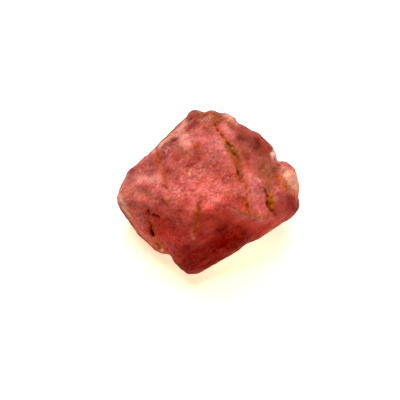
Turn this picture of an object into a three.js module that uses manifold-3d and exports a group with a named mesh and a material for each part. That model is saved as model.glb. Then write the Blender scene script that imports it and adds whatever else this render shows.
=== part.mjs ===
// A rough rhodolite garnet: one broken stone about 14 mm long, lying on its flattest break.
// Millimetres, +Z up. The origin is on the resting face, under the middle of the stone.
//
// The stone is described from its broad side, which faces up and towards -Y. A place on it is
// given as [across, up, out]: across is +X, up climbs the broad side, out leaves it squarely.
// A ray from the stone's middle meets the surface once in every direction, so each vertex of a
// fine ball is slid along its ray until it lies on the faces, the outline and the relief.

import * as THREE from "three";
import { ImprovedNoise } from "three/addons/math/ImprovedNoise.js";
import { mergeVertices } from "three/addons/utils/BufferGeometryUtils.js";
import Module from "manifold-3d";

// Driving dimensions.
const broadSideFaces = 60; // degrees above the horizon, towards -Y
const middle = new THREE.Vector3(0, -0.25, 4.0); // of the broad side's outline, in the part
const furthestReach = 12; // no part of the stone is further than this from its middle

// How softly one form runs into the next.
const edgeRound = 0.3; // between broken faces
const knobRound = 0.4; // where a knob grows out of the rim
const shellRound = 0.08; // the lip of a shell-shaped break
const pitRound = 0.06; // the lip of a pit

// The rim, where the broad side ends. How far out its front edge lies changes with the height.
const rimAtMiddle = 0.05;
const rimRise = -0.14;
const rimThickness = 1.3;
const rimLean = 0.24; // how far it leans in, for each millimetre towards the viewer
const backLean = 0.4; // the same going away from the viewer, once past the rim's thickness

// The mesh.
const ballDetail = 19; // splits of each side of the icosahedron
const halvings = 26; // of a ray, to find where it meets the surface
const slopeStep = 0.05; // over which the surface's slope is taken
const weld = 1e-5; // vertices closer than this are one
const turnRounds = 4; // how often the mesh's edges are looked at and turned
const longestTurn = 2.3; // a turned edge is no longer than this many times the old one
const clearlyBetter = 0.8; // and its gap to the surface is below this share of the old one

// The broad side's outline, square on, clockwise from the small knob at its top.
const outline = [
  [-1.7, 6.0], [-1.25, 6.3], [-0.8, 6.4], [-0.25, 6.2], [0.35, 6.3], [1.5, 6.0],
  [1.95, 5.75], [2.15, 5.45], [3.3, 4.8], [3.85, 4.6], [4.75, 3.7], [4.95, 3.2],
  [5.25, 2.4], [5.95, 2.35], [6.45, 2.0], [6.8, 1.3], [7.0, 0.45], [6.85, -0.4],
  [6.95, -0.9], [6.75, -1.45], [6.4, -1.9], [5.15, -2.65], [4.1, -3.4], [2.95, -3.95],
  [2.2, -4.5], [1.1, -5.2], [-0.4, -6.05], [-1.4, -6.35], [-1.95, -6.15], [-2.7, -5.35],
  [-2.95, -4.85], [-3.6, -4.8], [-4.4, -4.25], [-5.35, -3.35], [-6.8, -1.3], [-7.05, -0.55],
  [-6.7, 0.6], [-6.15, 1.8], [-5.55, 2.1], [-5.1, 2.6], [-4.1, 3.45], [-3.55, 4.05],
  [-2.1, 5.5],
];

// Corners where the broken faces of the broad side meet.
const corner = {
  leftTip: [-6.3, 0.25, 0.7],
  leftShoulder: [-4.5, -0.45, 2.4],
  leftBrow: [-2.6, -0.85, 3.9],
  leftKnee: [-3.9, 3.1, 1.35],
  topKnob: [-1.4, 4.9, 1.25],
  seamHead: [0.5, 5.0, 1.5],
  crest: [2.35, 0.9, 4.1],
  centreBrow: [1.05, -0.9, 4.6],
  ledgeStart: [1.3, -1.05, 4.65],
  ledgeFoot: [2.9, -2.55, 2.5],
  rightBrow: [3.3, -2.05, 3.75],
  ledgeHeel: [4.0, -2.4, 2.2],
  lowerBrow: [4.25, -1.95, 3.15],
  rightShoulder: [5.9, 0.0, 1.9],
  upperRight: [5.1, 3.25, 0.2],
  rightToe: [6.8, -1.4, 0.6],
  lowerRight: [3.15, -3.7, 1.5],
  foot: [-1.4, -6.15, 1.0],
  leftFoot: [-3.1, -4.7, 0.75],
  bevelLow: [-3.4, 3.55, 1.55],
  bevelHigh: [-1.75, 5.0, 1.15],
  bevelOuter: [-3.0, 4.55, 0.1],
  sillUpper: [-5.1, -2.9, 0.1],
  sillLower: [-4.0, -4.0, 0.4],
  sillOuter: [-4.9, -3.8, -0.7],
};

// Each broken face of the broad side passes through three corners.
const broadFaces = {
  main: ["topKnob", "leftBrow", "centreBrow"],
  upperRight: ["seamHead", "crest", "upperRight"],
  rightBlock: ["crest", "rightBrow", "rightShoulder"],
  lowerLeft: ["leftBrow", "leftShoulder", "leftFoot"],
  leftEnd: ["leftKnee", "leftShoulder", "leftTip"],
  rightEnd: ["rightShoulder", "lowerBrow", "rightToe"],
  upperLeftBevel: ["bevelLow", "bevelHigh", "bevelOuter"],
  lowerLeftBevel: ["sillUpper", "sillLower", "sillOuter"],
};

// The right block stands out of the lower right face as a ledge with two steep risers.
const lowerRightFace = ["centreBrow", "foot", "lowerRight"];
const risers = [
  ["ledgeStart", "rightBrow", "ledgeFoot"],
  ["rightBrow", "lowerBrow", "ledgeHeel"],
];

// The hidden faces: compass bearing from +X and tilt above the horizon, in degrees, and how far
// each lies from the stone's middle.
const hiddenFaces = [
  { bearing: 92, tilt: 8, reach: 6.05 }, // back
  { bearing: 138, tilt: -10, reach: 5.5 }, // back left
  { bearing: 40, tilt: -14, reach: 5.7 }, // back right
  { bearing: 182, tilt: -38, reach: 6.3 }, // under the left end
  { bearing: 2, tilt: -42, reach: 5.8 }, // under the right end
  { bearing: 262, tilt: -46, reach: 6.15 }, // under the front
  { bearing: 100, tilt: -48, reach: 4.9 }, // under the back
  { bearing: 0, tilt: -90, reach: 4.1 }, // the resting face, before it is cut flat
];

// Shallow shell-shaped breaks: a place on the broad side, the shell's radius and its depth.
const shells = [
  { at: [1.1, -3.3], radius: 4.2, depth: 0.42 },
  { at: [-2.6, -3.0], radius: 4.5, depth: 0.25 },
  { at: [3.9, 3.3], radius: 2.6, depth: 0.28 },
  { at: [4.6, 1.3], radius: 2.2, depth: 0.25 },
  { at: [3.9, -0.7], radius: 2.4, depth: 0.22 },
  { at: [-2.4, 3.5], radius: 2.2, depth: 0.2 },
  { at: [-0.6, 1.6], radius: 7.5, depth: 0.26 },
  { at: [-5.0, -0.2], radius: 2.4, depth: 0.22 },
  { at: [6.3, -0.6], radius: 1.5, depth: 0.16 },
];

// Knobs that stand out of the rim: the knob's middle and radius.
const knobs = [
  { middle: [-1.1, 5.72, 0.5], radius: 0.62 },
  { middle: [0.3, 5.65, 0.5], radius: 0.55 },
  { middle: [1.45, 5.35, 0.35], radius: 0.58 },
  { middle: [5.85, 1.2, 0.9], radius: 1.05 },
  { middle: [-6.25, -0.45, 0.25], radius: 0.72 },
];

// Open cracks, where rust has eaten a seam: the line each follows, its half width and depth.
const cracks = [
  {
    line: [[0.4, 5.1], [0.65, 4.6], [0.95, 4.2], [1.6, 3.3], [2.1, 2.45], [2.3, 1.55], [2.35, 0.6]],
    halfWidth: 0.2,
    depth: 0.24,
  },
  { line: [[2.65, 0.15], [2.85, -0.8], [3.4, -2.0]], halfWidth: 0.16, depth: 0.1 },
  { line: [[-3.9, 3.1], [-3.6, 1.85], [-3.1, 0.45], [-3.05, -0.3]], halfWidth: 0.15, depth: 0.1 },
  { line: [[-4.5, -1.4], [-4.35, -2.6], [-4.2, -3.5]], halfWidth: 0.17, depth: 0.18 },
  { line: [[-0.65, -0.7], [-0.9, -1.9], [-1.2, -3.15]], halfWidth: 0.17, depth: 0.12 },
  { line: [[4.25, -0.1], [4.6, -1.0], [4.95, -1.85]], halfWidth: 0.18, depth: 0.2 },
];

// Pits where crumbs have dropped out: a place on the broad side, the pit's radius and depth.
const pits = [
  { at: [1.6, 3.4], radius: 0.36, depth: 0.3 },
  { at: [1.95, 2.85], radius: 0.32, depth: 0.26 },
  { at: [2.3, 1.4], radius: 0.3, depth: 0.24 },
  { at: [-4.2, -3.2], radius: 0.32, depth: 0.28 },
  { at: [4.6, -1.05], radius: 0.3, depth: 0.22 },
  { at: [-1.1, 5.55], radius: 0.34, depth: 0.2 },
];

// Unevenness of the breaks, coarse to fine: the size of a swell, its height and its own start.
const swells = [
  { size: 2.6, height: 0.16, start: 17.3 },
  { size: 1.2, height: 0.09, start: 34.6 },
  { size: 0.62, height: 0.045, start: 51.9 },
];

const facing = THREE.MathUtils.degToRad(broadSideFaces);
const across = new THREE.Vector3(1, 0, 0);
const up = new THREE.Vector3(0, Math.sin(facing), Math.cos(facing));
const out = new THREE.Vector3(0, -Math.cos(facing), Math.sin(facing));
const noise = new ImprovedNoise();

// A place given from the broad side, measured from the stone's middle.
function place([a, u, o]) {
  return new THREE.Vector3()
    .addScaledVector(across, a)
    .addScaledVector(up, u)
    .addScaledVector(out, o);
}

// The larger of two distances, with the crease between them rounded.
function softMax(a, b, round) {
  const overlap = Math.max(round - Math.abs(a - b), 0) / round;
  return Math.max(a, b) + (overlap * overlap * round) / 4;
}

function faceThrough(names) {
  const [a, b, c] = names.map((name) => place(corner[name]));
  const plane = new THREE.Plane().setFromCoplanarPoints(a, b, c);
  return plane.normal.dot(out) < 0 ? plane.negate() : plane;
}

function hiddenFace({ bearing, tilt, reach }) {
  const b = THREE.MathUtils.degToRad(bearing);
  const t = THREE.MathUtils.degToRad(tilt);
  const normal = new THREE.Vector3(
    Math.cos(b) * Math.cos(t),
    Math.sin(b) * Math.cos(t),
    Math.sin(t),
  );
  return new THREE.Plane(normal, -reach);
}

const planes = [
  ...Object.values(broadFaces).map(faceThrough),
  ...hiddenFaces.map(hiddenFace),
];
const lowerRightPlane = faceThrough(lowerRightFace);
const riserPlanes = risers.map(faceThrough);

function distanceToSegment(x, y, [ax, ay], [bx, by]) {
  const dx = bx - ax;
  const dy = by - ay;
  const along = ((x - ax) * dx + (y - ay) * dy) / (dx * dx + dy * dy);
  const t = THREE.MathUtils.clamp(along, 0, 1);
  return Math.hypot(x - ax - t * dx, y - ay - t * dy);
}

function distanceToLine(x, y, line) {
  let nearest = Infinity;
  for (let i = 1; i < line.length; i += 1) {
    nearest = Math.min(nearest, distanceToSegment(x, y, line[i - 1], line[i]));
  }
  return nearest;
}

// How far a point of the broad side's plane lies outside the outline, negative inside it.
function outsideOutline(x, y) {
  let inside = false;
  let nearest = Infinity;
  outline.forEach((a, i) => {
    const b = outline[(i + 1) % outline.length];
    nearest = Math.min(nearest, distanceToSegment(x, y, a, b));
    const crosses = a[1] > y !== b[1] > y;
    if (crosses && x < a[0] + ((y - a[1]) * (b[0] - a[0])) / (b[1] - a[1])) inside = !inside;
  });
  return inside ? -nearest : nearest;
}

function rimEdge(y) {
  return rimAtMiddle + rimRise * y;
}

// The plain stone: its faces and outline, before any relief.
function plainStone(p) {
  const x = p.dot(across);
  const y = p.dot(up);
  const ahead = p.dot(out) - rimEdge(y);
  const leanIn = rimLean * Math.max(ahead, 0) + backLean * Math.max(-ahead - rimThickness, 0);
  let d = outsideOutline(x, y) + leanIn;
  for (const plane of planes) d = softMax(d, plane.distanceToPoint(p), edgeRound);
  const ledge = Math.max(...riserPlanes.map((plane) => plane.distanceToPoint(p)));
  const lowerRight = -softMax(-lowerRightPlane.distanceToPoint(p), -ledge, edgeRound);
  return softMax(d, lowerRight, edgeRound);
}

// Slides out along a ray from start until the field turns positive.
function meet(field, start, direction) {
  let near = 0;
  let far = furthestReach;
  const p = new THREE.Vector3();
  for (let i = 0; i < halvings; i += 1) {
    const half = (near + far) / 2;
    p.copy(start).addScaledVector(direction, half);
    if (field(p) < 0) near = half;
    else far = half;
  }
  return p;
}

function slopeOf(field, p) {
  const slope = new THREE.Vector3();
  for (const axis of ["x", "y", "z"]) {
    const ahead = p.clone();
    const behind = p.clone();
    ahead[axis] += slopeStep;
    behind[axis] -= slopeStep;
    slope[axis] = field(ahead) - field(behind);
  }
  return slope.normalize();
}

// A ball that dips to the given depth below the broad side at a place on it.
function hollowBall({ at, radius, depth }) {
  const surface = meet(plainStone, place([at[0], at[1], 0]), out);
  const normal = slopeOf(plainStone, surface);
  return { middle: surface.addScaledVector(normal, radius - depth), radius };
}

const hollows = [
  ...shells.map((shell) => ({ ...hollowBall(shell), round: shellRound })),
  ...pits.map((pit) => ({ ...hollowBall(pit), round: pitRound })),
];
const knobBalls = knobs.map((knob) => ({ middle: place(knob.middle), radius: knob.radius }));

function swell(p) {
  let height = 0;
  for (const { size, height: most, start } of swells) {
    height += most * noise.noise(p.x / size + start, p.y / size, p.z / size);
  }
  return height;
}

function crackDepth(p) {
  const x = p.dot(across);
  const y = p.dot(up);
  let depth = 0;
  for (const crack of cracks) {
    const away = distanceToLine(x, y, crack.line) / crack.halfWidth;
    depth = Math.max(depth, crack.depth * Math.exp(-away * away));
  }
  return depth;
}

// The finished stone: negative inside, zero on its surface.
function stone(p) {
  let d = plainStone(p);
  for (const knob of knobBalls) {
    d = -softMax(-d, knob.radius - p.distanceTo(knob.middle), knobRound);
  }
  for (const hollow of hollows) {
    d = softMax(d, hollow.radius - p.distanceTo(hollow.middle), hollow.round);
  }
  d += swell(p);
  if (p.dot(out) > rimEdge(p.dot(up))) d += crackDepth(p);
  return d;
}

// A ball of directions, each vertex slid out to the stone's surface.
function roughBall() {
  const sphere = new THREE.IcosahedronGeometry(1, ballDetail);
  sphere.deleteAttribute("normal");
  sphere.deleteAttribute("uv");
  const geometry = mergeVertices(sphere, weld);
  const position = geometry.getAttribute("position");
  const direction = new THREE.Vector3();
  const centre = new THREE.Vector3();
  for (let i = 0; i < position.count; i += 1) {
    direction.fromBufferAttribute(position, i).normalize();
    const p = meet(stone, centre, direction).add(middle);
    position.setXYZ(i, p.x, p.y, p.z);
  }
  return geometry;
}

// A closed mesh around the stone's middle, with what fitting it to a field needs.
class Skin {
  constructor(geometry, field) {
    this.position = geometry.getAttribute("position");
    this.index = geometry.index.array;
    this.field = field;
    this.gaps = new Map();
  }

  at(i) {
    return new THREE.Vector3().fromBufferAttribute(this.position, i).sub(middle);
  }

  keyOf(a, b) {
    return Math.min(a, b) * this.position.count + Math.max(a, b);
  }

  // How far the middle of the edge between two vertices lies off the field's surface.
  gapAt(a, b) {
    const key = this.keyOf(a, b);
    if (!this.gaps.has(key)) this.gaps.set(key, this.field(this.at(a).lerp(this.at(b), 0.5)));
    return this.gaps.get(key);
  }

  // Each edge's key, with the first corner of the triangles on its two sides.
  edges() {
    const edges = new Map();
    for (let t = 0; t < this.index.length; t += 3) {
      for (let k = 0; k < 3; k += 1) {
        const key = this.keyOf(this.index[t + k], this.index[t + ((k + 1) % 3)]);
        edges.set(key, [...(edges.get(key) ?? []), t]);
      }
    }
    return edges;
  }

  facesOut(a, b, c) {
    return this.at(a).dot(this.at(b).cross(this.at(c))) > 0;
  }

  cornerOpposite(t, a, b) {
    return [0, 1, 2].map((k) => this.index[t + k]).find((v) => v !== a && v !== b);
  }

  isBetter(c, d, a, b) {
    const stretch = this.at(c).distanceTo(this.at(d)) / this.at(a).distanceTo(this.at(b));
    const gapShare = Math.abs(this.gapAt(c, d) / this.gapAt(a, b));
    return stretch < longestTurn && gapShare < clearlyBetter;
  }

  // Turns an edge wherever the other diagonal of its two triangles lies closer to the surface,
  // so that edges run along the ridges and cracks instead of across them.
  turnEdges() {
    const edges = this.edges();
    const turned = new Set();
    for (const [key, [s, t]] of [...edges]) {
      if (turned.has(s) || turned.has(t)) continue;
      const a = Math.floor(key / this.position.count);
      const b = key % this.position.count;
      const c = this.cornerOpposite(s, a, b);
      const d = this.cornerOpposite(t, a, b);
      const [from, to] = this.facesOut(a, b, c) ? [a, b] : [b, a];
      if (edges.has(this.keyOf(c, d)) || !this.isBetter(c, d, a, b)) continue;
      if (!this.facesOut(c, from, d) || !this.facesOut(d, to, c)) continue;
      this.index.set([c, from, d], s);
      this.index.set([d, to, c], t);
      edges.set(this.keyOf(c, d), [s, t]);
      turned.add(s).add(t);
    }
  }

  // Moves every vertex along its ray by the mean gap of its edges, which keeps corners full.
  fillCorners() {
    const sum = new Float64Array(this.position.count);
    const edgeCount = new Float64Array(this.position.count);
    for (const key of this.edges().keys()) {
      const a = Math.floor(key / this.position.count);
      const b = key % this.position.count;
      for (const i of [a, b]) {
        sum[i] += this.gapAt(a, b);
        edgeCount[i] += 1;
      }
    }
    for (let i = 0; i < sum.length; i += 1) {
      const p = this.at(i);
      p.setLength(p.length() - sum[i] / edgeCount[i]).add(middle);
      this.position.setXYZ(i, p.x, p.y, p.z);
    }
    this.gaps.clear();
  }
}

const wasm = await Module();
wasm.setup();

function solidOf(geometry) {
  return new wasm.Manifold(
    new wasm.Mesh({
      numProp: 3,
      vertProperties: new Float32Array(geometry.getAttribute("position").array),
      triVerts: new Uint32Array(geometry.index.array),
    }),
  );
}

function geometryOf(solid) {
  const mesh = solid.getMesh();
  return new THREE.BufferGeometry()
    .setAttribute("position", new THREE.BufferAttribute(new Float32Array(mesh.vertProperties), 3))
    .setIndex(new THREE.BufferAttribute(new Uint32Array(mesh.triVerts), 1));
}

// The block of air below the resting face, which cuts that face flat.
function airBelow() {
  const size = 3 * furthestReach;
  const box = new THREE.BoxGeometry(size, size, size).translate(0, 0, -size / 2);
  box.deleteAttribute("normal");
  box.deleteAttribute("uv");
  return mergeVertices(box, weld);
}

const garnetMaterial = new THREE.MeshStandardMaterial({
  name: "garnet",
  color: 0xb44a45,
  roughness: 0.32,
  metalness: 0,
});

const ball = roughBall();
const skin = new Skin(ball, stone);
for (let round = 0; round < turnRounds; round += 1) skin.turnEdges();
skin.fillCorners();
const geometry = geometryOf(solidOf(ball).subtract(solidOf(airBelow())));
geometry.computeVertexNormals();
const garnet = new THREE.Mesh(geometry, garnetMaterial);
garnet.name = "garnet_stone";

const rhodolite = new THREE.Group();
rhodolite.add(garnet);

export default rhodolite;
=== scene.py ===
import math
import bmesh
import bpy
import numpy as np
from mathutils import Matrix, Vector, noise


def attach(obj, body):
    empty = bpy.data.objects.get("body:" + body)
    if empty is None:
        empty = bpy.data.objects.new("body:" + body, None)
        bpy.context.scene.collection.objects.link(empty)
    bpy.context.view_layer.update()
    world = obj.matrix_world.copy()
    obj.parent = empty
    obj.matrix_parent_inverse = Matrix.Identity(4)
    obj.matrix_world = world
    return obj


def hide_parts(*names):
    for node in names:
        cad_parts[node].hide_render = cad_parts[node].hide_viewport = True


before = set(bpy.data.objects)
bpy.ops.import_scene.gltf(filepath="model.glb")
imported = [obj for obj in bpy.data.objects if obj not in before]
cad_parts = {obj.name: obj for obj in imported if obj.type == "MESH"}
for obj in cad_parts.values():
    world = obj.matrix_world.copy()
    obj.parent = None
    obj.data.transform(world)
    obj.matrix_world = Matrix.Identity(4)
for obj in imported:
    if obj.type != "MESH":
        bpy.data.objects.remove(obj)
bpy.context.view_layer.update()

scene = bpy.context.scene

# The stone's broad side faces up and towards -Y. Places on it are in millimetres from its middle:
# across is +X, up climbs the side, out leaves it squarely.
broadSide = {
    "elevation": math.radians(60),
    "middle": Vector((0, -0.25, 4.0)),
}
across = Vector((1, 0, 0))
up = Vector((0, math.sin(broadSide["elevation"]), math.cos(broadSide["elevation"])))
out = Vector((0, -math.cos(broadSide["elevation"]), math.sin(broadSide["elevation"])))
millimetre = 0.001


# Rises from low to high, or falls where high is the lower of the two.
def smoothStep(low, high, x):
    t = np.clip((x - low) / (high - low), 0, 1)
    return t * t * (3 - 2 * t)


# The stone's skin: how finely it is remade and how it is roughened, in millimetres. A pair is
# where something starts and where it is full. A fractal is its fall-off, scaling and octaves,
# and then, for the etching, its offset and gain.
skin = {
    "weld": 0.0001, "voxel": 0.083,
    "swell": 0.035,  # makes up for what the smoothing takes off
    "smoothings": 9, "smoothFactor": 0.5,
    "edgeSmoothings": 60,  # how much further a copy is smoothed to find the edges that stand out
    "edgeStand": (0.02, 0.12),  # how far an edge stands out of that copy
    "lumpSize": 0.95, "lumpHeight": 0.05, "lumpFractal": (0.9, 2.0, 3),
    "etchSize": 0.34, "etchHeight": 0.012, "etchFractal": (0.9, 2.0, 2, 1.0, 2.0),
    "strokeLength": 1.5, "strokeWidth": 0.2, "strokeHeight": 0.025, "strokeTurn": math.radians(38),
    "strokeSlice": 3.7,  # where the strokes' noise is cut
    "baseBand": 0.25,  # the relief fades out over this height above the resting face
    "nearSide": (0.0, 0.3), "farSide": (0.0, -0.3),  # how squarely faces with marks look out
    "farTurn": math.radians(155),  # the far side has the same marks turned about
    # the painted highlights stay on the near side only: the glassy rim strips and the single
    # sparkles
    "nearOnly": ("glassyEdgeHighlight", "paintedSparkle"),  # but not these
    # the dark line round the broad side, painted shade along its outline: the share of its width
    # that is solid, then where it shows
    "rimWidth": 0.2, "rimCore": 0.4, "rimFacing": (-0.05, 0.12), "rimGaps": (0.25, 0.6),
    "rimSteps": 360,
}

# Rusty cracks. Each point is across, up and the half width of the rust there, in millimetres.
# pits is how dark the painted shade in a crack's gaps is
cracks = {
    "main": {
        "line": [
            (0.5, 5.1, 0.12), (0.62, 4.75, 0.16), (1.0, 4.3, 0.17), (1.4, 3.75, 0.27),
            (1.75, 3.25, 0.45), (1.98, 2.85, 0.34), (2.15, 2.5, 0.36), (2.28, 1.95, 0.46),
            (2.35, 1.5, 0.48), (2.42, 1.0, 0.4), (2.5, 0.6, 0.22),
        ],
        "depth": 0.04, "rust": 0.95, "pits": 0.4,
    },
    "tail": {
        "line": [
            (2.5, 1.1, 0.1), (2.75, 0.6, 0.18), (2.8, -0.5, 0.2), (2.85, -1.3, 0.28),
            (3.1, -1.75, 0.16),
        ],
        "depth": 0.015, "rust": 1.0, "pits": 0.1,
    },
    "left": {
        "line": [
            (-3.95, 3.3, 0.16), (-3.85, 2.75, 0.2), (-3.6, 1.6, 0.18), (-3.35, 0.95, 0.2),
            (-3.15, 0.0, 0.26), (-3.0, -0.6, 0.18),
        ],
        "depth": 0.02, "rust": 0.85, "pits": 0.55,
    },
    "lowLeft": {
        "line": [
            (-4.58, -1.4, 0.12), (-4.42, -2.2, 0.18), (-4.37, -2.8, 0.18), (-4.3, -3.3, 0.22),
            (-3.95, -3.95, 0.18), (-3.6, -4.4, 0.12),
        ],
        "depth": 0.04, "rust": 0.8, "pits": 0.6,
    },
    "lowLeftBranch": {
        "line": [(-4.4, -2.1, 0.08), (-4.1, -1.72, 0.12), (-3.7, -1.9, 0.07)],
        "depth": 0.02, "rust": 0.6, "pits": 0.6,
    },
    "centre": {
        "line": [
            (-0.74, -0.8, 0.18), (-0.8, -1.3, 0.28), (-0.85, -1.9, 0.26), (-0.9, -2.4, 0.2),
            (-1.12, -3.05, 0.18), (-1.2, -3.4, 0.1),
        ],
        "depth": 0.02, "rust": 0.95, "pits": 0.1,
    },
    "right": {
        "line": [
            (4.2, 0.12, 0.14), (4.38, -0.3, 0.22), (4.5, -0.8, 0.3), (4.66, -1.25, 0.26),
            (4.78, -1.6, 0.1),
        ],
        "depth": 0.04, "rust": 1.0, "pits": 0.2,
    },
}

# Larger dark holes in the cracks, where crumbs have dropped out, painted near-black as their shade:
# from across, up to across, up, then half width and darkness.
holes = [
    (0.6, 4.8, 0.68, 4.66, 0.09, 0.7), (0.98, 4.4, 1.06, 4.22, 0.1, 0.8),
    (1.46, 3.72, 1.54, 3.56, 0.13, 0.95), (1.5, 3.6, 1.95, 2.95, 0.26, 0.65),
    (1.8, 3.05, 1.92, 2.84, 0.16, 0.95), (4.6, -1.15, 4.72, -1.4, 0.13, 0.8),
    (2.2, 1.58, 2.28, 1.34, 0.15, 0.95), (2.36, 1.05, 2.3, 0.82, 0.12, 0.7),
    (2.1, 2.6, 2.36, 1.0, 0.3, 0.5), (-0.74, -0.9, -0.78, -1.3, 0.15, 0.5),
    (-4.58, -1.36, -4.54, -1.52, 0.09, 0.5), (-4.18, -1.68, -4.02, -1.78, 0.12, 0.95),
    (-3.86, -1.8, -3.72, -1.9, 0.09, 0.9), (-4.42, -2.5, -4.36, -2.8, 0.08, 0.6),
    (-4.36, -2.95, -4.24, -3.4, 0.12, 1.0), (4.2, 0.05, 4.24, -0.04, 0.07, 0.7),
    (4.34, -0.34, 4.36, -0.46, 0.09, 0.7), (4.38, -0.7, 4.46, -1.1, 0.11, 0.8),
    (2.62, -0.5, 2.7, -0.65, 0.08, 0.6), (2.83, -1.0, 2.87, -1.4, 0.12, 0.45),
    (-0.4, 1.88, -0.4, 1.84, 0.06, 0.8), (-3.95, 3.2, -3.9, 2.9, 0.08, 0.4),
]
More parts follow.
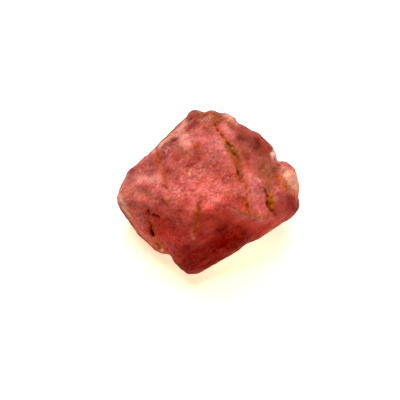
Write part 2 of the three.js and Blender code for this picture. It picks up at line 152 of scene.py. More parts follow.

# Stains of colour in the stone, and painted light and shade, each a soft stroke in millimetres:
# from across, up to across, up, then its half width and its strength.
stainsAndPaintedLight = {
    # red-brown stains on the facets at the top right, and painted shade on the lower faces and the
    # right end
    "russetAndShade": [
        (2.3, 4.6, 4.6, 3.2, 0.9, 0.9), (2.6, 3.4, 4.6, 2.7, 0.7, 0.9),
        (2.9, 2.5, 2.9, 1.9, 0.35, 0.6), (6.2, -0.7, 6.5, -1.3, 0.55, 0.95),
        (5.4, -1.0, 6.4, -1.7, 0.5, 0.8), (6.1, -0.4, 6.8, -0.05, 0.25, 0.7),
        (-5.8, 0.1, -4.6, -0.5, 0.4, 0.3), (-4.8, -1.2, -4.0, -1.4, 0.4, 0.6),
        (-3.6, -1.6, -1.2, -2.1, 0.6, 0.35), (-0.6, -2.1, 1.4, -1.9, 0.45, 0.9),
        (1.2, -1.9, 3.2, -2.4, 0.4, 0.9), (-1.2, -3.0, 0.2, -3.6, 0.6, 0.6),
        (-4.0, -2.6, -1.6, -3.2, 0.9, 0.68), (0.4, -2.6, 3.4, -2.9, 0.6, 0.6),
        (3.0, -3.0, 5.6, -2.3, 0.5, 0.7), (-2.4, 1.9, -0.9, 2.6, 0.35, 0.4),
        (-2.6, 2.6, -3.2, 1.8, 0.35, 0.4), (1.4, 1.7, 1.9, 0.6, 0.35, 0.5),
        (-1.6, 1.2, -2.4, 0.9, 0.2, 0.4), (1.3, -0.7, 2.4, -0.5, 0.35, 0.7),
        (3.4, 2.2, 3.4, 1.4, 0.25, 0.5),
    ],
    "rose": [
        (2.6, 3.6, 3.2, 3.0, 0.25, 0.4), (3.2, 2.3, 3.9, 2.5, 0.2, 0.4),
        (2.9, 4.5, 3.6, 4.1, 0.15, 0.4), (-5.9, 0.85, -3.8, 0.95, 0.55, 0.8),
        (-2.9, 0.3, 0.9, 0.1, 0.6, 0.45), (-1.6, 0.9, 1.0, 1.6, 0.4, 0.2),
        (3.3, 1.1, 3.5, -1.2, 0.5, 0.65), (1.2, 5.0, 1.7, 4.4, 0.4, 0.95),
        (-2.9, 1.0, -2.4, 1.6, 0.25, 0.5), (-3.9, 0.3, -3.0, -0.3, 0.3, 0.8),
        (0.2, -0.7, 1.0, -0.8, 0.35, 0.4), (0.0, 3.6, 1.2, 2.4, 0.6, 0.5),
        (-6.5, -0.4, -5.2, -0.1, 0.3, 0.3), (-2.6, 1.8, -2.9, 2.4, 0.2, 0.5),
        (-0.6, 4.6, 0.1, 3.8, 0.5, 0.4), (-5.0, 2.0, -4.2, 2.5, 0.3, 0.4),
        (-5.4, -1.6, -4.9, -2.6, 0.3, 0.5), (-0.1, -1.5, 1.0, -1.3, 0.3, 0.4),
        (1.4, -1.4, 2.8, -2.1, 0.35, 0.65), (3.0, -2.6, 5.4, -2.2, 0.3, 0.3),
        (2.3, -1.85, 4.1, -2.0, 0.2, 0.8), (-5.8, -0.7, -4.0, -1.0, 0.35, 0.35),
        (3.0, 0.4, 4.0, -0.6, 0.6, 0.5), (-3.6, -1.2, -1.6, -1.8, 0.3, 0.3),
        (5.5, 0.1, 5.8, -0.5, 0.25, 0.6),
    ],
    # the stone's own deeper red where it is thick, and painted shade on the lower faces and the
    # foot; the small strokes are dark spots
    "deepAndShade": [
        (5.9, -0.75, 6.6, -1.2, 0.5, 0.7), (1.1, -2.9, 1.1, -3.5, 0.5, 1.0),
        (0.7, -4.0, 0.5, -4.6, 0.6, 0.8), (-1.8, -5.5, -0.2, -5.0, 1.0, 0.95),
        (-1.8, -4.6, 2.6, -3.6, 0.8, 0.8), (-1.8, -5.9, 1.0, -5.1, 0.3, 0.9),
        (1.0, -5.1, 3.0, -3.8, 0.3, 0.8), (-3.0, -4.2, -1.7, -4.4, 0.5, 0.5),
        (2.0, -2.9, 3.6, -3.2, 0.5, 0.35), (-1.55, 1.95, -0.8, 2.45, 0.14, 0.65),
        (-0.45, 1.8, -0.25, 2.0, 0.14, 0.6), (-1.7, 0.9, -0.95, 1.25, 0.13, 0.6),
        (-1.2, 0.0, -0.9, 0.15, 0.06, 0.6), (-2.4, 0.9, -2.1, 1.5, 0.1, 0.4),
        (-6.0, 1.3, -5.5, 2.0, 0.25, 0.4), (1.6, -0.9, 2.4, -0.5, 0.25, 0.5),
        (3.6, 4.1, 3.8, 3.2, 0.35, 0.6), (-2.7, -2.2, -2.2, -2.9, 0.3, 0.4),
    ],
    "brown": [
        (2.5, 4.3, 4.4, 3.0, 0.8, 0.28), (3.62, 4.0, 3.7, 3.4, 0.2, 0.9),
        (2.3, 4.15, 2.5, 3.95, 0.22, 0.75), (2.75, 4.1, 2.95, 3.9, 0.15, 0.5),
        (-1.35, 5.4, -1.15, 5.6, 0.12, 0.7), (1.35, 3.5, 1.8, 2.8, 0.14, 0.5),
        (5.15, 2.2, 5.4, 1.9, 0.12, 0.6), (-2.65, 3.85, -1.3, 5.1, 0.12, 0.4),
        (-6.6, 1.2, -6.2, 1.7, 0.1, 0.5), (4.9, 1.6, 5.2, 1.3, 0.15, 0.4),
        (2.6, 2.9, 3.0, 2.4, 0.15, 0.3), (4.0, 2.9, 4.6, 3.3, 0.15, 0.35),
        (5.4, 2.35, 6.1, 2.25, 0.14, 0.5), (-0.2, 5.8, 0.8, 5.75, 0.25, 0.8),
        (4.5, 3.9, 4.9, 3.3, 0.12, 0.3),
    ],
    "plum": [
        (-3.5, 2.75, -2.8, 3.9, 0.33, 0.85), (-5.1, 1.8, -4.1, 2.3, 0.35, 0.28),
        (-2.55, 3.95, -1.05, 5.15, 0.2, 0.6), (-1.5, 4.7, -1.1, 5.1, 0.2, 0.4),
        (2.1, 4.0, 2.5, 4.1, 0.3, 0.5), (5.8, 1.75, 6.1, 1.5, 0.2, 0.5),
        (-1.9, -4.1, -1.4, -4.5, 0.4, 0.5), (-3.8, -2.6, -1.8, -3.2, 0.7, 0.2),
        (-6.3, 0.3, -5.9, 0.8, 0.2, 0.4), (1.2, -4.0, 2.2, -3.9, 0.4, 0.4),
    ],
    "tan": [
        (2.4, 4.5, 3.3, 3.6, 0.4, 0.35), (3.4, 3.1, 4.5, 2.6, 0.4, 0.4),
        (2.3, 3.4, 2.8, 2.2, 0.3, 0.4), (-2.3, 3.5, -2.0, 3.2, 0.3, 0.75),
        (3.9, 2.0, 4.5, 1.0, 0.45, 0.9), (4.6, 2.3, 4.9, 1.6, 0.35, 0.7),
        (5.1, 2.1, 5.3, 1.7, 0.2, 0.7), (-1.6, 5.9, -0.6, 6.1, 0.3, 0.6),
        (2.4, 2.6, 2.6, 3.5, 0.3, 0.4), (-5.2, 2.6, -2.4, 4.9, 0.2, 0.7),
        (-6.7, 0.6, -6.2, 1.6, 0.2, 0.4), (-3.2, -0.65, -2.4, -0.6, 0.14, 0.6),
        (-0.2, 5.9, 1.2, 5.75, 0.3, 0.9), (0.3, 5.4, 0.9, 5.3, 0.2, 0.4),
        (-6.9, -0.3, -6.6, -0.8, 0.16, 0.4), (-4.0, -3.0, -3.0, -2.6, 0.3, 0.4),
        (4.4, 0.6, 4.7, 0.2, 0.3, 0.4), (2.9, 4.5, 3.1, 4.2, 0.15, 0.5),
        (-3.8, -4.2, -3.5, -4.0, 0.15, 0.6),
    ],
    # pale milky patches, and painted highlights on the rims, ridges and facets
    "paleAndHighlight": [
        (-2.1, 4.2, -1.7, 4.4, 0.3, 0.3), (-1.9, 4.2, -1.7, 3.7, 0.42, 0.8),
        (-5.4, 1.0, -4.0, 0.9, 0.3, 0.65), (5.6, 1.75, 5.8, 1.7, 0.12, 0.5),
        (6.25, 1.05, 6.45, 0.95, 0.18, 0.7), (-6.75, -0.6, -5.05, -3.3, 0.16, 0.5),
        (-5.05, -3.3, -3.9, -4.25, 0.16, 0.5), (-4.2, 3.1, -1.6, 5.45, 0.18, 0.4),
        (-6.9, 0.3, -6.3, 1.5, 0.18, 0.3), (-5.9, 2.1, -4.4, 3.2, 0.16, 0.3),
        (1.4, 5.85, 1.95, 5.3, 0.25, 0.8), (1.3, 4.9, 1.6, 4.5, 0.3, 0.35),
        (-0.5, 5.45, 0.1, 5.75, 0.14, 0.4), (1.4, -1.15, 2.2, -1.55, 0.1, 0.4),
        (2.6, -1.8, 4.1, -1.95, 0.12, 0.45), (4.9, 3.1, 5.08, 2.6, 0.14, 0.8),
        (-1.2, -2.7, -1.24, -3.3, 0.14, 0.5), (-1.15, -3.35, -1.25, -3.5, 0.1, 0.4),
        (3.5, 0.9, 3.7, 0.7, 0.14, 0.7), (3.3, 0.3, 3.4, -0.4, 0.2, 0.3),
        (-0.9, -2.25, -0.88, -2.4, 0.1, 0.5),
    ],
    # painted light: a bright glow on the right lobe and the left tip, where light comes through
    "peachGlow": [
        (-6.3, 0.2, -4.6, -0.4, 0.6, 0.22), (6.1, 1.3, 6.5, 0.3, 0.4, 1.0),
        (6.7, 1.3, 6.9, 0.2, 0.2, 1.0), (-6.75, -0.4, -6.2, -1.6, 0.2, 0.5),
    ],
    # painted light: a saturated red glow on the dim lower faces and the right end, for light that
    # comes through the stone
    "redGlow": [
        (2.6, -2.6, 4.4, -2.8, 0.35, 0.4), (-6.3, -0.4, -5.0, -0.7, 0.3, 0.3),
        (-6.5, -1.1, -5.6, -2.5, 0.35, 0.5), (-3.4, -1.4, -1.2, -1.8, 0.4, 0.5),
        (-0.4, -1.5, 2.6, -1.3, 0.4, 0.75), (1.2, -2.0, 3.2, -2.3, 0.35, 0.7),
        (3.6, -2.5, 5.6, -2.1, 0.3, 0.5), (5.4, -2.0, 6.3, -1.7, 0.2, 0.3),
        (-6.2, -1.2, -4.8, -1.5, 0.3, 0.4), (-6.0, -2.2, -4.7, -3.5, 0.3, 0.6),
        (-4.0, -1.5, -3.4, -2.2, 0.3, 0.4), (-4.6, -3.6, -3.6, -4.4, 0.35, 0.7),
        (-0.6, -2.2, 0.4, -2.4, 0.3, 0.5), (1.8, -2.9, 4.2, -3.1, 0.4, 0.6),
        (5.6, 0.1, 6.9, -0.3, 0.25, 0.5), (5.7, -0.8, 6.5, -1.4, 0.5, 0.4),
        (-1.4, -3.2, -0.6, -2.6, 0.3, 0.3), (1.0, -0.6, 2.4, -0.9, 0.35, 0.5),
    ],
    # painted highlights: bright glassy strips along the rims
    "glassyEdgeHighlight": [
        (-4.2, 3.15, -1.7, 5.4, 0.2, 0.5), (-6.95, 0.0, -6.2, 1.6, 0.2, 0.25),
        (-5.9, 2.1, -4.4, 3.2, 0.18, 0.3), (-6.95, -0.3, -6.7, -0.8, 0.22, 0.9),
        (4.9, 3.1, 5.1, 2.6, 0.12, 0.8), (-6.6, -0.9, -6.1, -1.7, 0.15, 0.5),
    ],
    "amber": [
        (5.55, 0.9, 5.9, 0.4, 0.32, 0.75), (0.0, 5.8, 0.8, 5.7, 0.25, 0.4),
        (5.3, 1.2, 5.5, 0.9, 0.2, 0.5), (-2.9, 4.3, -2.6, 4.6, 0.12, 0.7),
        (-0.88, -2.2, -0.88, -2.5, 0.1, 0.7), (-3.95, -3.9, -3.7, -4.3, 0.12, 0.5),
        (1.5, 5.5, 2.2, 5.0, 0.2, 0.4), (4.7, 0.0, 4.8, -0.95, 0.12, 0.9),
        (2.5, -1.6, 4.1, -1.85, 0.2, 0.6), (5.9, 0.4, 6.5, 0.1, 0.16, 0.5),
    ],
    # where the rust is yellower
    "ochre": [
        (1.5, 3.6, 2.0, 2.9, 0.35, 0.8), (4.65, 0.1, 4.85, -1.0, 0.18, 0.8),
        (-3.95, -3.8, -3.7, -4.3, 0.3, 0.7),
    ],
    # painted highlights: single bright sparkles
    "paintedSparkle": [
        (4.92, 3.05, 5.08, 2.65, 0.12, 1.0), (3.67, 0.92, 3.72, 0.82, 0.06, 0.7),
        (-6.26, -1.28, -6.2, -1.34, 0.07, 0.9), (-4.3, -3.5, -4.24, -3.56, 0.06, 0.5),
        (-3.58, -4.48, -3.5, -4.54, 0.08, 0.9), (-1.18, -3.36, -1.26, -3.46, 0.08, 0.25),
        (1.74, 3.3, 1.78, 3.24, 0.05, 0.4), (0.64, 4.0, 0.72, 3.9, 0.06, 0.9),
        (0.86, 3.82, 0.94, 3.74, 0.06, 0.8), (-3.28, 3.02, -3.2, 3.1, 0.05, 0.8),
        (-3.08, 3.32, -3.0, 3.4, 0.05, 0.8), (-1.5, 1.32, -1.4, 1.4, 0.06, 0.9),
        (-0.68, 1.58, -0.6, 1.62, 0.05, 0.8), (-0.38, 1.58, -0.3, 1.64, 0.05, 0.8),
        (0.5, -0.66, 0.85, -0.64, 0.05, 0.6), (-2.36, -2.42, -2.3, -2.48, 0.06, 0.6),
        (-0.45, 5.4, -0.2, 5.55, 0.06, 0.5), (-3.7, 3.6, -3.5, 3.85, 0.06, 0.6),
        (-2.5, 4.75, -2.3, 4.95, 0.06, 0.6), (1.55, 5.6, 1.8, 5.4, 0.06, 0.5),
        (5.4, 2.12, 5.55, 2.05, 0.06, 0.4), (6.3, 2.0, 6.4, 1.85, 0.06, 0.7),
        (6.75, 1.2, 6.8, 0.9, 0.06, 0.7),
    ],
    # where the grain and the painted highlight flecks are strongest
    "glint": [
        (-2.4, 0.2, 1.4, 0.0, 0.8, 0.9), (-1.6, 1.4, 1.6, 1.2, 0.6, 0.8),
        (0.4, 2.4, 1.5, 3.2, 0.5, 0.8), (-3.5, 3.1, -2.9, 3.6, 0.3, 0.9),
        (-2.6, 4.4, -1.5, 5.6, 0.25, 1.0), (-0.4, 5.3, 0.2, 5.6, 0.2, 1.0),
        (1.2, 5.7, 1.9, 5.3, 0.3, 1.0), (5.3, 2.1, 6.4, 1.7, 0.35, 1.0),
        (1.4, 3.8, 1.9, 3.1, 0.25, 1.0), (-6.8, -0.5, -6.0, -1.8, 0.25, 0.9),
        (-5.7, -0.4, -4.8, -2.8, 0.5, 0.7), (-3.6, -2.2, -2.0, -3.2, 0.6, 0.4),
        (-4.4, -0.6, -3.4, -0.9, 0.4, 0.5), (2.4, 0.9, 2.6, -0.4, 0.3, 0.6),
        (1.6, -1.2, 4.0, -1.9, 0.2, 0.7), (3.4, 1.0, 3.8, 0.6, 0.25, 0.8),
        (-5.6, 1.0, -4.2, 0.5, 0.4, 0.5),
    ],
}

# Where the outline of the broad side bulges or falls back: across, up, radius and height.
swells = [
    (-1.65, 6.1, 0.5, -0.12), (-6.2, 1.55, 0.5, 0.13), (-7.0, -0.1, 0.5, -0.12),
    (-6.0, -2.3, 0.6, 0.18), (-5.4, -3.25, 0.4, 0.08), (6.9, -1.15, 0.6, 0.22),
    (6.8, 1.5, 0.5, -0.2), (5.15, 2.85, 0.35, 0.16), (4.85, 3.5, 0.4, 0.1), (4.8, -3.0, 0.8, 0.12),
    (3.6, -3.7, 0.5, 0.08), (0.3, 6.2, 0.5, 0.1), (2.05, 5.6, 0.25, 0.1), (-2.1, 5.5, 0.4, -0.08),
    (5.45, 2.45, 0.2, -0.1), (6.0, 2.4, 0.3, 0.08), (-3.2, -4.8, 0.3, -0.08),
    (-2.7, -5.4, 0.3, 0.08), (1.8, -4.8, 0.6, -0.08), (-4.9, -3.8, 0.4, -0.06),
    (-4.1, -4.5, 0.3, 0.06), (-2.0, -6.1, 0.4, -0.08), (3.4, 4.8, 0.4, -0.06),
    (2.4, 5.3, 0.3, -0.05),
]

# Noise moves the marks about, and breaks the cracks up into beads and gaps. Tightness is how
# many times narrower than the rust something is.
wandering = {
    "seed": 4,  # without one, the wandering changes with each run
    "crackSize": 0.35, "crackReach": 0.09, "colourSize": 0.6, "stainReach": 0.22,
}
beading = {
    "beadSize": 0.25, "gapSize": 0.4, "gapShift": 5.3,
    "grooveTightness": 2, "leastGroove": 0.4,
    "rustBeads": (-0.1, 0.4), "leastHole": 0.5,
    "pitTightness": 1.8, "pitGaps": (0.5, 0.7), "pitDepth": 0.06,
}
noise.seed_set(wandering["seed"])


def bell(away):
    return np.exp(-(away ** 2))


# How far each place is from a line, counted in the line's half widths.
def distanceToLine(x, y, line):
    nearest = np.full(len(x), np.inf)
    for (ax, ay, aw), (bx, by, bw) in zip(line, line[1:]):
        dx, dy = bx - ax, by - ay
        t = np.clip(((x - ax) * dx + (y - ay) * dy) / (dx * dx + dy * dy), 0, 1)
        away = np.hypot(x - ax - t * dx, y - ay - t * dy)
        nearest = np.minimum(nearest, away / (aw + t * (bw - aw)))
    return nearest


def wanderOf(points, size, reach):
    moved = np.array([noise.noise_vector(p / size) for p in points]) * reach
    return moved[:, 0], moved[:, 1]


def crackFields(x, y, bead, gap):
    depth, rust, pit = np.zeros((3, len(x)))
    for crack in cracks.values():
        away = distanceToLine(x, y, crack["line"])
        groove = bell(beading["grooveTightness"] * away) * (beading["leastGroove"] + bead)
        depth = np.maximum(depth, crack["depth"] * groove)
        laidOnKinds = bell(away) * smoothStep(*beading["rustBeads"], bead)
        rust = np.maximum(rust, crack["rust"] * laidOnKinds)
        # painted shade in the gaps of each crack
        crumbled = bell(beading["pitTightness"] * away) * smoothStep(*beading["pitGaps"], gap)
        pit = np.maximum(pit, crack["pits"] * crumbled)
    for ax, ay, bx, by, halfWidth, darkness in holes:
        away = distanceToLine(x, y, [(ax, ay, halfWidth), (bx, by, halfWidth)])
        pit = np.maximum(pit, darkness * bell(away / (beading["leastHole"] + bead)))
    return depth + beading["pitDepth"] * pit, rust, pit


def colourStrokeField(x, y, kind):
    clear = np.ones(len(x))
    for ax, ay, bx, by, halfWidth, strength in stainsAndPaintedLight[kind]:
        away = distanceToLine(x, y, [(ax, ay, halfWidth), (bx, by, halfWidth)])
        clear *= 1 - strength * bell(away)
    return 1 - clear


def swellAt(x, y, facing):
    rise = np.zeros(len(x))
    for ax, ay, radius, height in swells:
        rise += height * bell(np.hypot(x - ax, y - ay) / radius)
    return rise * (1 - np.clip(facing, 0, 1))


# The outline is the farthest place in each direction, and the painted shade along it fades out
# inwards from it.
def rimField(x, y):
    steps, width = skin["rimSteps"], skin["rimWidth"]
    turn = np.arctan2(y, x) * steps / math.tau
    reach = np.zeros(steps)
    np.maximum.at(reach, np.floor(turn).astype(int) % steps, np.hypot(x, y))
    outline = np.interp(turn, np.arange(steps) + 0.5, reach, period=steps)
    return 1 - smoothStep(skin["rimCore"] * width, width, outline - np.hypot(x, y))


def reliefAt(p, x, y):
    lump = noise.fractal(p / skin["lumpSize"], *skin["lumpFractal"])
    etch = noise.ridged_multi_fractal(p / skin["etchSize"], *skin["etchFractal"])
    turn = skin["strokeTurn"]
    along = x * math.cos(turn) + y * math.sin(turn)
    aside = y * math.cos(turn) - x * math.sin(turn)
    place = Vector((along / skin["strokeLength"], aside / skin["strokeWidth"], skin["strokeSlice"]))
    stroke = noise.noise(place)
    return skin["lumpHeight"] * lump - skin["etchHeight"] * etch + skin["strokeHeight"] * stroke


# A finer copy of the solid, in millimetres.
def remadeMesh(source):
    bm = bmesh.new()
    bm.from_mesh(source.data)
    bmesh.ops.scale(bm, verts=bm.verts, vec=Vector((1, 1, 1)) / millimetre)
    bmesh.ops.remove_doubles(bm, verts=bm.verts, dist=skin["weld"])
    mesh = bpy.data.meshes.new("garnet_skin")
    bm.to_mesh(mesh)
    bm.free()
    obj = bpy.data.objects.new("garnet_skin", mesh)
    scene.collection.objects.link(obj)
    remesh = obj.modifiers.new("Remesh", "REMESH")
    remesh.mode = "VOXEL"
    remesh.voxel_size = skin["voxel"]
    remesh.use_smooth_shade = True
    evaluated = obj.evaluated_get(bpy.context.evaluated_depsgraph_get())
    remade = bpy.data.meshes.new_from_object(evaluated)
    obj.modifiers.clear()
    obj.data = remade
    return obj


def smoothed(bm, times):
    for _ in range(times):
        bmesh.ops.smooth_vert(
            bm, verts=bm.verts, factor=skin["smoothFactor"],
            use_axis_x=True, use_axis_y=True, use_axis_z=True,
        )


# Noise from 0 to 1 at each point.
def noiseOf(points, size, shift=0):
    return np.array([(1 + noise.noise(p / size + Vector((shift, 0, 0)))) / 2 for p in points])


# The cracks' depth and all the marks at each point, on the broad side and, turned about, on
# the far side.
def marksOf(points, x, y, facing, gap):
    bead = noiseOf(points, beading["beadSize"])
    crackWander = wanderOf(points, wandering["crackSize"], wandering["crackReach"])
    colourWander = wanderOf(points, wandering["colourSize"], wandering["stainReach"])
    marks = {name: np.zeros(len(points)) for name in ("depth", "rust", "pit", *stainsAndPaintedLight)}
    for turn, (low, high) in ((0, skin["nearSide"]), (skin["farTurn"], skin["farSide"])):
        cos, sin = math.cos(turn), math.sin(turn)
        tx, ty = x * cos - y * sin, x * sin + y * cos
        side = smoothStep(low, high, facing)
        cracked = crackFields(tx + crackWander[0], ty + crackWander[1], bead, gap)
        for name, field in zip(("depth", "rust", "pit"), cracked):
            marks[name] += field * side
        for kind in stainsAndPaintedLight:
            if turn and kind in skin["nearOnly"]:
                continue
            marks[kind] += colourStrokeField(tx + colourWander[0], ty + colourWander[1], kind) * side
    return marks


# Smooths the skin, keeps its marks as attributes of the mesh and raises its relief.
def roughen(obj):
    bm = bmesh.new()
    bm.from_mesh(obj.data)
    smoothed(bm, skin["smoothings"])
    bm.normal_update()
    rounded = bm.copy()
    smoothed(rounded, skin["edgeSmoothings"])
    points = [v.co.copy() for v in bm.verts]
    places = np.array(points)
    normals = np.array([v.normal for v in bm.verts])
    stand = ((places - np.array([v.co for v in rounded.verts])) * normals).sum(1)
    rounded.free()
    x, y, _ = ((places - np.array(broadSide["middle"])) @ np.array((across, up, out)).T).T
    facing = normals @ np.array(out)
    gap = noiseOf(points, beading["gapSize"], beading["gapShift"])
    fields = marksOf(points, x, y, facing, gap)
    depth = fields.pop("depth")
    # convex edges, paler in the material: partly frosted wear, partly painted light where thin
    # edges let light through
    fields["edge"] = smoothStep(*skin["edgeStand"], stand)
    # painted shade: a dark line along the outline of the broad side, on faces that look out, broken
    # where the gap noise is low
    broken = smoothStep(*skin["rimFacing"], facing) * smoothStep(*skin["rimGaps"], gap)
    fields["rim"] = rimField(x, y) * broken
    relief = np.array([reliefAt(*place) for place in zip(points, x, y)])
    relief += swellAt(x, y, facing)
    relief = (relief + skin["swell"] - depth) * smoothStep(0, skin["baseBand"], places[:, 2])
    layers = {name: bm.verts.layers.float.new(name) for name in fields}
    for name, field in fields.items():
        for v, value in zip(bm.verts, field):
            v[layers[name]] = value
    for v, rise, normal in zip(bm.verts, relief, normals):
        v.co += Vector(normal) * rise
        v.co.z = max(v.co.z, 0)
    bmesh.ops.scale(bm, verts=bm.verts, vec=Vector((1, 1, 1)) * millimetre)
    bm.to_mesh(obj.data)
    bm.free()
    obj.data.shade_smooth()


def newMaterial(name):
    material = bpy.data.materials.new(name)
    material.use_nodes = True
    material.node_tree.nodes.clear()
    return material, material.node_tree


def addNode(tree, kind, inputs=None, **settings):
    node = tree.nodes.new(kind)
    for key, value in settings.items():
        setattr(node, key, value)
    for key, value in (inputs or {}).items():
        if isinstance(value, bpy.types.NodeSocket):
            tree.links.new(value, node.inputs[key])
        else:
            node.inputs[key].default_value = value
    return node


def addVectorMath(tree, operation, a, b):
    return addNode(tree, "ShaderNodeVectorMath", {0: a, 1: b}, operation=operation).outputs[0]


def addNoise(tree, place, made):
    return addNode(tree, "ShaderNodeTexNoise", {
        "Vector": addVectorMath(tree, "ADD", place, (made.get("offset", 0), 0, 0)),
        "Scale": 1 / (made["size"] * millimetre), "Detail": made["detail"],
        "Roughness": made["roughness"], "Distortion": made.get("distortion", 0),
    }).outputs["Fac"]


def addRange(tree, value, span, result=(0, 1), **settings):
    inputs = {0: value, 1: span[0], 2: span[1], 3: result[0], 4: result[1]}
    return addNode(tree, "ShaderNodeMapRange", inputs, **settings).outputs[0]


def addRamp(tree, fac, positions, colours):
    ramp = addNode(tree, "ShaderNodeValToRGB", {"Fac": fac})
    elements = ramp.color_ramp.elements
    for position in positions[2:]:
        elements.new(position)
    for element, position, colour in zip(elements, positions, colours):
        element.position = position
        element.color = garnet[colour]
    return ramp.outputs["Color"]


def addMix(tree, fac, a, b):
    return addNode(tree, "ShaderNodeMix", {0: fac, 6: a, 7: b}, data_type="RGBA").outputs[2]


def addValueMix(tree, fac, a, b):
    return addNode(tree, "ShaderNodeMix", {0: fac, 2: a, 3: b}).outputs[0]


def addMath(tree, operation, a, b, clamp=False):
    settings = {"operation": operation, "use_clamp": clamp}
    return addNode(tree, "ShaderNodeMath", {0: a, 1: b}, **settings).outputs[0]


def addSum(tree, total, *shares):
    for value, share in shares:
        inputs = {0: value, 1: share, 2: total}
        total = addNode(tree, "ShaderNodeMath", inputs, operation="MULTIPLY_ADD").outputs[0]
    return total


def attribute(tree, name):
    return addNode(tree, "ShaderNodeAttribute", attribute_name=name).outputs["Fac"]


# The crystal: its colours first, then how they are laid on and how clear it is.
garnet = {
    "shade": (0.42, 0.065, 0.05, 1),
    "body": (0.65, 0.142, 0.102, 1),
    "light": (0.83, 0.25, 0.198, 1),
    "warm": (0.58, 0.12, 0.065, 1),
    "pink": (0.80, 0.23, 0.22, 1),
    "rose": (0.96, 0.26, 0.232, 1),
    # painted glow of light that comes through the stone
    "redGlow": (0.93, 0.115, 0.085, 1),
    # painted highlight of the glassy rim strips
    "glassyEdgeHighlight": (0.80, 0.48, 0.34, 1),
    # pale milky patches and painted highlights
    "paleAndHighlight": (0.90, 0.36, 0.28, 1),
    # painted glow where light comes through thin parts
    "peachGlow": (1.0, 0.45, 0.30, 1),
    # deeper red of thick parts, and painted shade
    "deepAndShade": (0.205, 0.033, 0.033, 1),
    # red-brown stains, and painted shade on the lower faces
    "russetAndShade": (0.55, 0.088, 0.062, 1),
    "brown": (0.13, 0.025, 0.018, 1),
    "plum": (0.30, 0.065, 0.068, 1),
    "tan": (0.38, 0.125, 0.06, 1),
    "amber": (0.76, 0.20, 0.050, 1),
    "rust": (0.50, 0.100, 0.017, 1),
    "darkRust": (0.34, 0.055, 0.014, 1),
    "ochre": (0.50, 0.22, 0.04, 1),
    # painted shade in the cracks' holes
    "pit": (0.05, 0.010, 0.006, 1),
    # painted shade along the outline
    "rim": (0.11, 0.028, 0.017, 1),
    # painted highlight of the single sparkles
    "paintedSparkle": (1.0, 0.55, 0.42, 1),
    # painted highlights: tiny bright flecks
    "highlightFleck": (1.0, 0.48, 0.38, 1),
    "crumb": (0.24, 0.035, 0.020, 1),
    # the body: its noises are mixed into tones and hues, then stained and given its painted light
    # and shade, then mottled
    "tones": ("shade", "body", "light"), "toneStops": (0.41, 0.5, 0.59),
    "toneShares": {"mottle": 0.45, "streak": 0.22, "blotch": 0.33},
    "hues": ("warm", "body", "pink"), "hueStops": (0.4, 0.5, 0.6), "hueShare": 0.4,
    "laidOnKinds": (
        "russetAndShade", "rose", "redGlow", "plum", "deepAndShade", "tan", "brown", "paleAndHighlight", "glassyEdgeHighlight", "peachGlow", "amber",
    ),
    "blotchSpan": (0.35, 0.65), "blotchValue": (0.8, 1.2),
    # the fine grain: strongest in glints, and calmer under the russet, deep and painted red glow
    # strokes
    "grainSpan": (0.4, 0.66), "grainValue": (0.87, 1.28), "grainSaturation": (1.1, 0.88),
    "evenGrain": 0.5, "calm": 0.4, "glintCalm": -0.4,
    "strokeCalm": 0.3, "calmStrokes": ("russetAndShade", "redGlow", "deepAndShade"),
    # what lies on it, with the painted light and shade of its edges, outline and flecks
    "edgeShare": 0.12, "rimShare": 0.5,
    "speckSpan": (0.58, 0.68), "crowdSpan": (0.42, 0.58),
    "fleckShare": 0.1, "glintFlecks": 0.7, "crumbShare": 0.3,
    "rustSpan": (0.36, 0.54), "rustCover": (0.45, 1), "rustGrainSpan": (0.35, 0.65),
    # transmission, from the cloudiest to the clearest of the body, then under the stains and the
    # painted light and shade
    "hazeSpan": (0.35, 0.65), "transmission": (0.35, 0.65),
    "strokeTransmission": {
        "russetAndShade": 0.6, "redGlow": 0.2, "deepAndShade": 0.36, "paleAndHighlight": 0.2, "glassyEdgeHighlight": 0.2, "peachGlow": 0.2,
    },
    "streakSpan": (0.3, 0.7), "roughness": (0.5, 0.85),
    "bumpStrength": 0.25, "bumpHeight": 0.03,  # millimetres
    "refraction": 1.76,
    "gloss": 0.0,  # specular level of the cloudy part; the clear part keeps its own shine
    "sheen": (0.8, 0.14, 0.09, 1),  # colour of what the surface mirrors straight on
    "absorption": (0.86, 0.135, 0.145, 1), "absorptionDensity": 750,  # per metre
}
# Its noises, with sizes in millimetres. A stretched one runs along the strokes, and an offset,
# in metres, sets one apart from another.
mottling = {
    "mottle": {"size": 1.2, "detail": 4, "roughness": 0.5, "distortion": 0.4},
    "streak": {
        "size": 0.28, "detail": 4, "roughness": 0.6, "distortion": 0.4, "stretch": (0.16, 1, 0.5),
    },
    "blotch": {
        "size": 0.5, "detail": 3, "roughness": 0.55, "distortion": 0.4, "stretch": (0.6, 1, 1),
        "offset": 0.07,
    },
    "drift": {"size": 0.9, "detail": 3, "roughness": 0.55, "distortion": 0.6, "offset": 0.09},
    "grain": {
        "size": 0.14, "detail": 2, "roughness": 0.6, "stretch": (0.65, 1, 1), "offset": 0.11,
    },
    # where the painted highlight flecks fall
    "highlightFleck": {
        "size": 0.15, "detail": 1, "roughness": 0.55, "stretch": (0.85, 1, 1), "offset": 0.05,
    },
    "highlightFleckCrowd": {
        "size": 0.6, "detail": 2, "roughness": 0.55, "stretch": (0.85, 1, 1), "offset": 0.06,
    },
    "crumb": {"size": 0.2, "detail": 1, "roughness": 0.55, "offset": 0.13},
    "crumbCrowd": {"size": 0.9, "detail": 2, "roughness": 0.55, "offset": 0.14},
    "rustPatch": {"size": 0.4, "detail": 3, "roughness": 0.55, "offset": 0.06},
    "rustGrain": {"size": 0.25, "detail": 3, "roughness": 0.55, "offset": 0.03},
    "haze": {"size": 1.0, "detail": 4, "roughness": 0.55, "offset": 0.01},
}


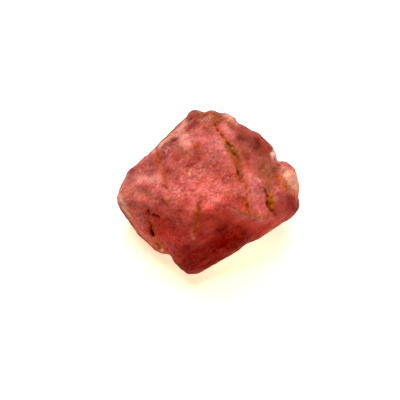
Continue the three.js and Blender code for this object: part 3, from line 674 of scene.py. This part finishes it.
# Places turned so that X runs along the strokes.
def alongStrokes(tree, place):
    turn = Matrix((across, up, out)).transposed() @ Matrix.Rotation(skin["strokeTurn"], 3, "Z")
    return addNode(tree, "ShaderNodeVectorRotate", {
        "Vector": place, "Rotation": turn.to_euler(),
    }, rotation_type="EULER_XYZ", invert=True).outputs[0]


def garnetNoises(tree):
    place = addNode(tree, "ShaderNodeTexCoord").outputs["Object"]
    turned = alongStrokes(tree, place)
    noises = {}
    for name, made in mottling.items():
        stretch = made.get("stretch")
        where = addVectorMath(tree, "MULTIPLY", turned, stretch) if stretch else place
        noises[name] = addNoise(tree, where, made)
    return noises


def addSpecks(tree, noises, name):
    grain = addRange(tree, noises[name], garnet["speckSpan"])
    crowd = addRange(tree, noises[name + "Crowd"], garnet["crowdSpan"])
    return addMath(tree, "MULTIPLY", grain, crowd)


def stainedAndLitColour(tree, noises):
    shares = [(noises[name], share) for name, share in garnet["toneShares"].items()]
    tone = addRamp(tree, addSum(tree, 0, *shares), garnet["toneStops"], garnet["tones"])
    hue = addRamp(tree, noises["drift"], garnet["hueStops"], garnet["hues"])
    colour = addMix(tree, garnet["hueShare"], tone, hue)
    # the stains, and the painted light and shade, are laid on in turn
    for kind in garnet["laidOnKinds"]:
        colour = addMix(tree, attribute(tree, kind), colour, garnet[kind])
    value = addRange(tree, noises["blotch"], garnet["blotchSpan"], garnet["blotchValue"])
    return addNode(tree, "ShaderNodeHueSaturation", {"Color": colour, "Value": value}).outputs[0]


def grainedColour(tree, noises, colour):
    calm = addSum(tree, garnet["calm"], (attribute(tree, "glint"), garnet["glintCalm"]), *(
        (attribute(tree, kind), garnet["strokeCalm"]) for kind in garnet["calmStrokes"]
    ))
    grain = addValueMix(tree, calm, noises["grain"], garnet["evenGrain"])
    return addNode(tree, "ShaderNodeHueSaturation", {
        "Color": colour,
        "Value": addRange(tree, grain, garnet["grainSpan"], garnet["grainValue"]),
        "Saturation": addRange(tree, grain, garnet["grainSpan"], garnet["grainSaturation"]),
    }).outputs[0]


def rustColour(tree, noises):
    grain = addRange(tree, noises["rustGrain"], garnet["rustGrainSpan"])
    colour = addMix(tree, grain, garnet["darkRust"], garnet["rust"])
    return addMix(tree, attribute(tree, "ochre"), colour, garnet["ochre"])


def garnetClarity(tree, noises, opaque):
    clarity = addRange(tree, noises["haze"], garnet["hazeSpan"], garnet["transmission"])
    for kind, value in garnet["strokeTransmission"].items():
        clarity = addValueMix(tree, attribute(tree, kind), clarity, value)
    blotch = addRange(tree, noises["blotch"], garnet["blotchSpan"], garnet["blotchValue"])
    clear = addMath(tree, "SUBTRACT", 1, opaque, clamp=True)
    return addMath(tree, "MULTIPLY", clear, addMath(tree, "MULTIPLY", clarity, blotch), clamp=True)


def garnetMaterial():
    material, tree = newMaterial("garnet")
    noises = garnetNoises(tree)
    colour = grainedColour(tree, noises, stainedAndLitColour(tree, noises))
    # paler convex edges: partly frosted wear, partly painted light where thin edges let light
    # through
    edge = addMath(tree, "MULTIPLY", attribute(tree, "edge"), garnet["edgeShare"])
    colour = addMix(tree, edge, colour, garnet["paleAndHighlight"])
    # painted highlights: tiny bright flecks, most in the glints; they also raise the bump
    flecked = addSum(tree, garnet["fleckShare"], (attribute(tree, "glint"), garnet["glintFlecks"]))
    highlightFleck = addMath(tree, "MULTIPLY", addSpecks(tree, noises, "highlightFleck"), flecked)
    colour = addMix(tree, highlightFleck, colour, garnet["highlightFleck"])
    crumb = addMath(tree, "MULTIPLY", addSpecks(tree, noises, "crumb"), garnet["crumbShare"])
    colour = addMix(tree, crumb, colour, garnet["crumb"])
    cover = addRange(tree, noises["rustPatch"], garnet["rustSpan"], garnet["rustCover"])
    rust = addMath(tree, "MULTIPLY", attribute(tree, "rust"), cover)
    colour = addMix(tree, rust, colour, rustColour(tree, noises))
    # painted shade in the cracks' holes and gaps, near black
    pit = attribute(tree, "pit")
    colour = addMix(tree, pit, colour, garnet["pit"])
    # painted shade: the dark line round the outline
    rim = addMath(tree, "MULTIPLY", attribute(tree, "rim"), garnet["rimShare"])
    colour = addMix(tree, rim, colour, garnet["rim"])
    # painted highlights: single bright sparkles
    colour = addMix(tree, attribute(tree, "paintedSparkle"), colour, garnet["paintedSparkle"])
    bump = addNode(tree, "ShaderNodeBump", {
        "Height": highlightFleck, "Strength": garnet["bumpStrength"],
        "Distance": garnet["bumpHeight"] * millimetre,
    })
    shader = addNode(tree, "ShaderNodeBsdfPrincipled", {
        "Base Color": colour,
        "Roughness": addRange(tree, noises["streak"], garnet["streakSpan"], garnet["roughness"]),
        "Normal": bump.outputs[0],
        "Transmission Weight": garnetClarity(tree, noises, addMath(tree, "MAXIMUM", rust, pit)),
        "IOR": garnet["refraction"],
        "Specular IOR Level": garnet["gloss"], "Specular Tint": garnet["sheen"],
    }, distribution="GGX")
    absorption = addNode(tree, "ShaderNodeVolumeAbsorption", {
        "Color": garnet["absorption"], "Density": garnet["absorptionDensity"],
    })
    addNode(tree, "ShaderNodeOutputMaterial", {
        "Surface": shader.outputs[0], "Volume": absorption.outputs[0],
    })
    return material


stone = remadeMesh(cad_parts["garnet_stone"])
print("skin remade,", len(stone.data.polygons), "faces")
roughen(stone)
print("skin roughened, cracks and stains marked")
stone.data.materials.append(garnetMaterial())
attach(stone, "root")
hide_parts("garnet_stone")
print("garnet material laid on")

# The floor is a wide, plain white board. Round the stone's foot its colour turns cream, a painted
# warm shadow, and it glows, painted light that lifts the stone's shadow. Metres.
floorMade = {
    "half": 0.6, "colour": (0.9, 0.9, 0.9, 1), "roughness": 0.9, "gloss": 0.1,
    # the painted warm shadow's cream, and where it lies
    "shadowCream": (0.9, 0.86, 0.40, 1),
    "shadowCreamMiddle": (0.0002, -0.0035, 0), "shadowCreamReach": 0.0085, "shadowCreamSpread": (0.7, 1, 1),
    # painted light: the glow that lifts the stone's shadow, and where it lies
    "glow": (1.0, 0.83, 0.62, 1), "glowStrength": 0.94,
    "glowMiddle": (0.002, -0.0035, 0), "glowReach": 0.0085, "glowSpread": (0.45, 1, 1),
}


# Full at a spot's middle, and gone at its reach. A spread below 1 widens it that way.
def fadeAround(tree, place, name):
    away = addVectorMath(tree, "SUBTRACT", place, floorMade[name + "Middle"])
    away = addVectorMath(tree, "MULTIPLY", away, floorMade[name + "Spread"])
    length = addNode(tree, "ShaderNodeVectorMath", {0: away}, operation="LENGTH").outputs["Value"]
    span = (0, floorMade[name + "Reach"])
    return addRange(tree, length, span, (1, 0), interpolation_type="SMOOTHSTEP")


def whiteFloor():
    bm = bmesh.new()
    bmesh.ops.create_grid(bm, x_segments=1, y_segments=1, size=floorMade["half"])
    mesh = bpy.data.meshes.new("floor")
    bm.to_mesh(mesh)
    bm.free()
    floor = bpy.data.objects.new("floor", mesh)
    scene.collection.objects.link(floor)
    material, tree = newMaterial("white board")
    place = addNode(tree, "ShaderNodeTexCoord").outputs["Object"]
    # painted light and shadow: the floor glows round the stone's foot, and turns cream there as a
    # painted warm shadow
    glow = addMath(tree, "MULTIPLY", fadeAround(tree, place, "glow"), floorMade["glowStrength"])
    shadowCream = fadeAround(tree, place, "shadowCream")
    shader = addNode(tree, "ShaderNodeBsdfPrincipled", {
        "Base Color": addMix(tree, shadowCream, floorMade["colour"], floorMade["shadowCream"]),
        "Roughness": floorMade["roughness"], "Specular IOR Level": floorMade["gloss"],
        "Emission Color": floorMade["glow"], "Emission Strength": glow,
    })
    addNode(tree, "ShaderNodeOutputMaterial", {"Surface": shader.outputs[0]})
    mesh.materials.append(material)


whiteFloor()
print("floor laid")

# A broad soft light overhead and a weak one from the right. Metres and watts.
lights = {
    "world": 0.15, "worldColour": (1, 1, 1, 1),
    "overhead": {"towards": Vector((-0.1, 0.45, 0.9)), "distance": 0.3, "size": 0.3, "power": 1.6},
    "fill": {"towards": Vector((1.0, 0.35, 0.4)), "distance": 0.3, "size": 0.2, "power": 0.34},
    "black": 0.013, "white": 0.96,  # levels of light that come out black and white
}


def studioLight():
    world = bpy.data.worlds.new("studio")
    scene.world = world
    world.use_nodes = True
    background = world.node_tree.nodes["Background"]
    background.inputs["Color"].default_value = lights["worldColour"]
    background.inputs["Strength"].default_value = lights["world"]
    for name in ("overhead", "fill"):
        made = lights[name]
        data = bpy.data.lights.new(name, "AREA")
        data.size = made["size"]
        data.energy = made["power"]
        lamp = bpy.data.objects.new(name, data)
        lamp.location = made["towards"].normalized() * made["distance"]
        lamp.rotation_euler = made["towards"].to_track_quat("Z", "Y").to_euler()
        scene.collection.objects.link(lamp)
    scene.view_settings.view_transform = "Standard"
    scene.view_settings.use_curve_mapping = True
    curves = scene.view_settings.curve_mapping
    curves.black_level = (lights["black"],) * 3
    curves.white_level = (lights["white"],) * 3
    curves.update()


studioLight()
print("lights set")

# The camera looks squarely at the broad side. Metres, but the sensor is in millimetres.
shot = {
    "distance": 0.15, "nearest": 0.01, "sensor": 36,
    # what the frame spans at the stone, and how far across and up its middle is
    "frameWidth": 0.03077, "aim": (-0.00065, -0.00062),
}


def studioCamera():
    data = bpy.data.cameras.new("camera")
    data.sensor_width = shot["sensor"]
    data.lens = shot["sensor"] * shot["distance"] / shot["frameWidth"]
    data.clip_start = shot["nearest"]
    camera = bpy.data.objects.new("camera", data)
    aim = broadSide["middle"] * millimetre + across * shot["aim"][0] + up * shot["aim"][1]
    camera.location = aim + out * shot["distance"]
    camera.rotation_euler = Matrix((across, up, out)).transposed().to_euler()
    scene.collection.objects.link(camera)
    scene.camera = camera


studioCamera()
print("camera set")
